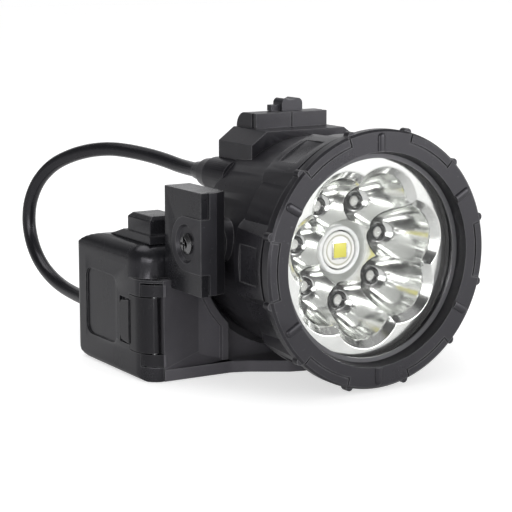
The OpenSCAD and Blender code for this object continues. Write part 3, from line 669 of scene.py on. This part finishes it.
class Mirror:
    """The reflector's mesh: rings of vertices, one to a place, with strips of faces between them."""

    def __init__(self):
        self.bm = bmesh.new()
        self.made = {}

    def vert(self, x, z, d=None):
        key = (round(x, 4), round(z, 4), None if d is None else round(d, 4))
        if key not in self.made:
            self.made[key] = self.bm.verts.new(on_head(x, reflector_depth(x, z) if d is None else d, z))
        return self.made[key]

    def ring(self, points, d=None):
        return [self.vert(x, z, d) for x, z in points]

    def skin(self, rings):
        """Faces between each ring and the next, with corners that are one vertex left out."""
        for a, b in zip(rings, rings[1:]):
            for k in range(len(a)):
                j = (k + 1) % len(a)
                face = list(dict.fromkeys((a[k], b[k], b[j], a[j])))
                if len(face) > 2:
                    self.bm.faces.new(face)


def cup_outline():
    """(angle, reach) pairs of a small cup's edge about its lamp, 0 outward and clockwise."""
    half = LED_STEP / 2
    across = LED_R * math.sin(half)
    # The mouth runs to notch, the edge against the next cup to inner, and the rest is the main cup's.
    notch = math.acos((LED_R * math.cos(half) * math.cos(half)
                       + math.sqrt(MOUTH_R ** 2 - across ** 2) * math.cos(half) - LED_R) / MOUTH_R)
    inner = math.atan2(SHARED_U * math.tan(half), SHARED_U - LED_R)
    angles = (spread(-notch, notch, MOUTH_STEPS) + spread(notch, inner, SIDE_STEPS)
              + spread(inner, 2 * math.pi - inner, MAIN_STEPS)
              + spread(2 * math.pi - inner, 2 * math.pi - notch, SIDE_STEPS))
    outline = []
    for a in angles:
        reach = MOUTH_R
        side = math.copysign(1.0, math.sin(a)) if abs(math.sin(a)) > 1e-9 else 1.0
        toward = -math.cos(a) * math.sin(half) + math.sin(a) * side * math.cos(half)
        if toward > 1e-9:
            reach = min(reach, across / toward)
        if math.cos(a) < -1e-9:
            reach = min(reach, (LED_R - SHARED_U) / -math.cos(a))
        outline.append((a, reach))
    return outline


def small_cup(mirror, k, outline):
    """Builds cup k, and returns its edge's points over the mouth and along the main cup."""
    cx, cz = led_axes[k]
    turn = LED_START + k * LED_STEP

    def place(r, a):
        """A point at a radius and angle about this cup's lamp."""
        u, v = r * math.cos(a), r * math.sin(a)
        return (cx + u * math.sin(turn) + v * math.cos(turn), cz + u * math.cos(turn) - v * math.sin(turn))

    rows = [[place(ring_radius(t, SMALL_HOLE, reach, 0.45), a) for a, reach in outline] for t in SMALL_RINGS]
    rings = [mirror.ring(row) for row in rows]
    mirror.skin(rings)
    hole = [place(SMALL_HOLE - HOLE_STEP, a) for a, _ in outline]
    mirror.skin([rings[0], mirror.ring(hole, CUP_FLOOR), mirror.ring(hole, HOLE_END)])
    edge, inner = rows[-1], MOUTH_STEPS + SIDE_STEPS
    return edge[:MOUTH_STEPS + 1], edge[inner:inner + MAIN_STEPS]


def scaled(points, radius):
    """The points moved in or out to a new radius, worked out from the one they had."""
    moved = []
    for x, z in points:
        reach = math.hypot(x, z)
        moved.append((x * radius(reach) / reach, z * radius(reach) / reach))
    return moved


def main_cup(mirror, shared):
    """Builds the main lamp's cup, which reaches to the line it shares with each small cup."""
    rings = [mirror.ring(scaled(shared, lambda reach: ring_radius(t, MAIN_HOLE, reach, 0.3)))
             for t in MAIN_RINGS]
    mirror.skin(rings)
    hole = scaled(shared, lambda reach: MAIN_HOLE - HOLE_STEP)
    mirror.skin([rings[0], mirror.ring(hole, CUP_FLOOR), mirror.ring(hole, HOLE_END)])


def rim_and_skirt(mirror, mouths):
    """Builds the flat rim outside the cups, its step down to the flange, and the skirt behind."""
    seen, rim = set(), []
    for p in mouths:
        key = (round(p[0], 3), round(p[1], 3))
        if key not in seen:
            seen.add(key)
            rim.append(p)
    rings = [mirror.ring(rim)]
    for t in RIM_RINGS:
        rings.append(mirror.ring(scaled(rim, lambda reach: reach + t * (RIM_R - reach))))
    for r, d in SKIRT:
        rings.append(mirror.ring(scaled(rim, lambda reach: r), d))
    mirror.skin(rings)


def build_reflector():
    mirror = Mirror()
    outline = cup_outline()
    mouths, shared = [], []
    for k in range(LED_COUNT):
        mouth, line = small_cup(mirror, k, outline)
        mouths += mouth
        shared += line
    main_cup(mirror, sorted(shared, key=lambda p: math.atan2(p[0], p[1])))
    rim_and_skirt(mirror, sorted(mouths, key=lambda p: math.atan2(p[0], p[1])))
    bm = mirror.bm
    bmesh.ops.remove_doubles(bm, verts=bm.verts, dist=MERGE)
    bmesh.ops.dissolve_degenerate(bm, dist=1e-7, edges=bm.edges)
    bmesh.ops.triangle_fill(bm, edges=[e for e in bm.edges if len(e.link_faces) == 1])
    bmesh.ops.recalc_face_normals(bm, faces=bm.faces)
    stand("reflector_mirror", bm, "reflector", smooth=18.0)


build_reflector()


# ---------------------------------------------------------------- the lamps

def turned(bm, profile, centre, sides):
    """Revolves closed [radius, depth] points about an axis through centre."""
    rings = []
    for r, d in profile:
        around = [2 * math.pi * k / sides for k in range(sides)] if r > 0 else [0.0]
        rings.append([bm.verts.new(on_head(centre[0] + r * math.sin(a), d, centre[1] + r * math.cos(a)))
                      for a in around])
    for a, b in zip(rings, rings[1:] + rings[:1]):
        for k in range(sides):
            j = (k + 1) % sides
            corners = (a[k % len(a)], b[k % len(b)], b[j % len(b)], a[j % len(a)])
            face = list(dict.fromkeys(corners))
            if len(face) > 2:
                bm.faces.new(face)
    bmesh.ops.recalc_face_normals(bm, faces=bm.faces)


def lathed(name, node, centres, profile, material, smooth=30.0, sides=40):
    """One piece of closed turned rings, the same about each centre."""
    bm = bmesh.new()
    for centre in centres:
        turned(bm, profile, centre, sides)
    stand(name, bm, node, material, smooth)


def slab(name, node, half, front, back, material, bevel):
    """A square plate that faces forward, between two depths, with rounded edges."""
    bm = bmesh.new()
    bmesh.ops.create_cube(bm, size=1.0)
    for v in bm.verts:
        v.co = on_head(v.co.x * 2 * half, (front + back) / 2 + v.co.y * (back - front), v.co.z * 2 * half)
    bmesh.ops.bevel(bm, geom=bm.edges[:], offset=bevel * MM, segments=2, profile=0.5, affect="EDGES")
    stand(name, bm, node, material, 40.0)


DOME_R, DOME_D = 2.5, 25.6       # a small lamp's dome, and the depth of its middle
dome = [(DOME_R * math.sin(math.radians(7.5 * k)), DOME_D - DOME_R * math.cos(math.radians(7.5 * k)))
        for k in range(13)]

# Each small lamp: a clear epoxy dome over a small pale chip, in a collar with a floor, both near-black as
# painted shade in the lamp's hole.
lathed("small_led_domes", "small_leds", led_axes, dome + [(DOME_R, 27.0), (0.0, 27.0)], "led_clear")
lathed("small_led_cups", "small_leds", led_axes,
       [(0.0, 26.1), (0.85, 26.15), (1.05, 26.3), (1.05, 26.7), (0.0, 26.7)], "chip_pale", sides=32)
lathed("small_led_collars", "small_leds", led_axes,
       [(0.0, 26.85), (2.55, 26.85), (2.55, 25.9), (2.75, 25.6), (3.1, 25.5), (3.36, 25.8), (3.36, 27.1),
        (0.0, 27.1)], "collar_black", smooth=50.0)

# The main lamp: a clear-edged ring, a white disc with a groove, a framed phosphor square.
lathed("main_led_ring", "main_led", [(0, 0)],
       [(7.2, 24.75), (7.45, 24.4), (7.8, 24.3), (8.3, 24.34), (8.62, 24.6), (8.75, 25.1),
        (8.75, 27.2), (7.2, 27.2)], "led_ring", sides=96)
lathed("main_led_disc", "main_led", [(0, 0)],
       [(0.0, 24.65), (4.75, 24.65), (4.95, 24.75), (5.05, 25.15), (5.5, 25.15), (5.6, 24.7),
        (5.8, 24.6), (6.3, 24.62), (6.65, 24.95), (6.65, 27.2), (0.0, 27.2)], "led_white", sides=96)
lathed("main_led_groove", "main_led", [(0, 0)],
       [(5.02, 25.05), (5.55, 25.05), (5.55, 25.4), (5.02, 25.4)], "groove_tan", sides=96)
slab("main_led_frame", "main_led", 3.25, 24.3, 24.8, "frame_metal", 0.12)
slab("main_led_chip", "main_led", 2.6, 24.0, 24.5, "led_phosphor", 0.15)


# ---------------------------------------------------------------- studio

def area_light(name, at, look, watts, width, height):
    data = bpy.data.lights.new(name, "AREA")
    data.energy = watts
    data.shape = "RECTANGLE"
    data.size = width
    data.size_y = height
    obj = link(bpy.data.objects.new(name, data))
    obj.location = at
    obj.rotation_euler = (Vector(look) - Vector(at)).to_track_quat("-Z", "Y").to_euler()


LAMP_MIDDLE = (0, 0, 0.05)
area_light("key", (-0.10, 0.30, 0.95), LAMP_MIDDLE, 3.0, 0.8, 0.7)
area_light("front", (0.65, -1.05, 0.30), LAMP_MIDDLE, 6.5, 1.0, 0.5)
area_light("left", (-1.10, -0.72, 0.34), LAMP_MIDDLE, 2.6, 0.5, 0.6)
area_light("low", (-0.45, -0.66, 0.17), (-0.02, 0, 0.02), 1.5, 0.35, 0.25)

FLOOR_HALF, FLOOR_DROP = 4, 0.0002        # m
FLOOR_GLOW = 0.60                         # lift for the camera, so that the floor is white
SHINY_GLOW = 0.36                         # the most that shiny plastic sees, toward the right


def build_floor():
    h = FLOOR_HALF
    mesh = bpy.data.meshes.new("floor")
    mesh.from_pydata([(-h, -h, 0), (h, -h, 0), (h, h, 0), (-h, h, 0)], [], [(0, 1, 2, 3)])
    floor = link(bpy.data.objects.new("floor", mesh))
    floor.location.z = -FLOOR_DROP
    n = Surface("floor")
    n.set(Base_Color=(0.62, 0.62, 0.62), Roughness=0.7)
    ray = n.add("ShaderNodeLightPath").outputs
    across = n.add("ShaderNodeSeparateXYZ", {0: n.where()}).outputs["X"]
    seen = n.math("MULTIPLY", ray["Is Camera Ray"], FLOOR_GLOW)
    mirrored = n.math("MULTIPLY", ray["Is Glossy Ray"], n.ramp(across, -0.15, 0.12, 0.0, SHINY_GLOW))
    glow = n.add("ShaderNodeEmission", {"Strength": n.math("ADD", seen, mirrored)})
    both = n.add("ShaderNodeAddShader", {0: n.bsdf.outputs[0], 1: glow.outputs[0]})
    n.link(both.outputs[0], n.out.inputs["Surface"])
    floor.data.materials.append(n.mat)


# The tent's brightness by height, from level (0) to overhead (1).
TENT = [(0.0, 0.55), (0.02, 0.80), (0.22, 0.85), (0.25, 0.97), (0.262, 0.08), (0.30, 0.12), (0.312, 0.97),
        (0.40, 1.0), (0.412, 0.45), (0.425, 1.0), (0.50, 0.95), (0.54, 0.30), (0.68, 0.27), (0.70, 0.50),
        (0.72, 0.30), (1.0, 0.42)]
SOFT_LIGHT = (0.64, 0.64, 0.64)
WHITE = (1.0, 1.0, 1.0)


def build_world():
    """A white tent: even for soft light, with a few gaps and seams for polished metal to show."""
    world = bpy.data.worlds.new("studio")
    scene.world = world
    world.use_nodes = True
    n = Nodes(world.node_tree)
    ray = n.add("ShaderNodeLightPath").outputs
    toward = n.add("ShaderNodeTexCoord").outputs["Generated"]
    split = n.add("ShaderNodeSeparateXYZ", {0: toward}).outputs
    bands = n.add("ShaderNodeValToRGB", {0: split["Z"]})
    stops = bands.color_ramp.elements
    while len(stops) < len(TENT):
        stops.new(0.5)
    for stop, (height, level) in zip(stops, TENT):
        stop.position = height
        stop.color = (level, level, level * 1.01, 1.0)
    # Dark drapes on the left: strongest at middle heights, none overhead.
    drape = n.math("MULTIPLY", n.ramp(split["Z"], 0.12, 0.30, 0.62, 0.90),
                   n.ramp(split["Z"], 0.78, 0.90, 1.0, 0.0))
    drape = n.math("MULTIPLY", drape, n.ramp(split["X"], -0.30, 0.40, 1.0, 0.0))
    undraped = n.ramp(drape, 0.0, 1.0, 1.0, 0.0)
    sharp = n.add("ShaderNodeBackground", {"Color": bands.outputs[0], "Strength": undraped}).outputs[0]
    soft = n.add("ShaderNodeBackground", {"Color": SOFT_LIGHT}).outputs[0]
    backdrop = n.add("ShaderNodeBackground", {"Color": WHITE}).outputs[0]
    lit = n.add("ShaderNodeMixShader", {0: ray["Is Glossy Ray"], 1: soft, 2: sharp}).outputs[0]
    direct = n.math("MAXIMUM", ray["Is Camera Ray"], ray["Is Transmission Ray"])
    final = n.add("ShaderNodeMixShader", {0: direct, 1: lit, 2: backdrop}).outputs[0]
    n.add("ShaderNodeOutputWorld", {0: final})


build_floor()
build_world()
scene.view_settings.view_transform = "Standard"
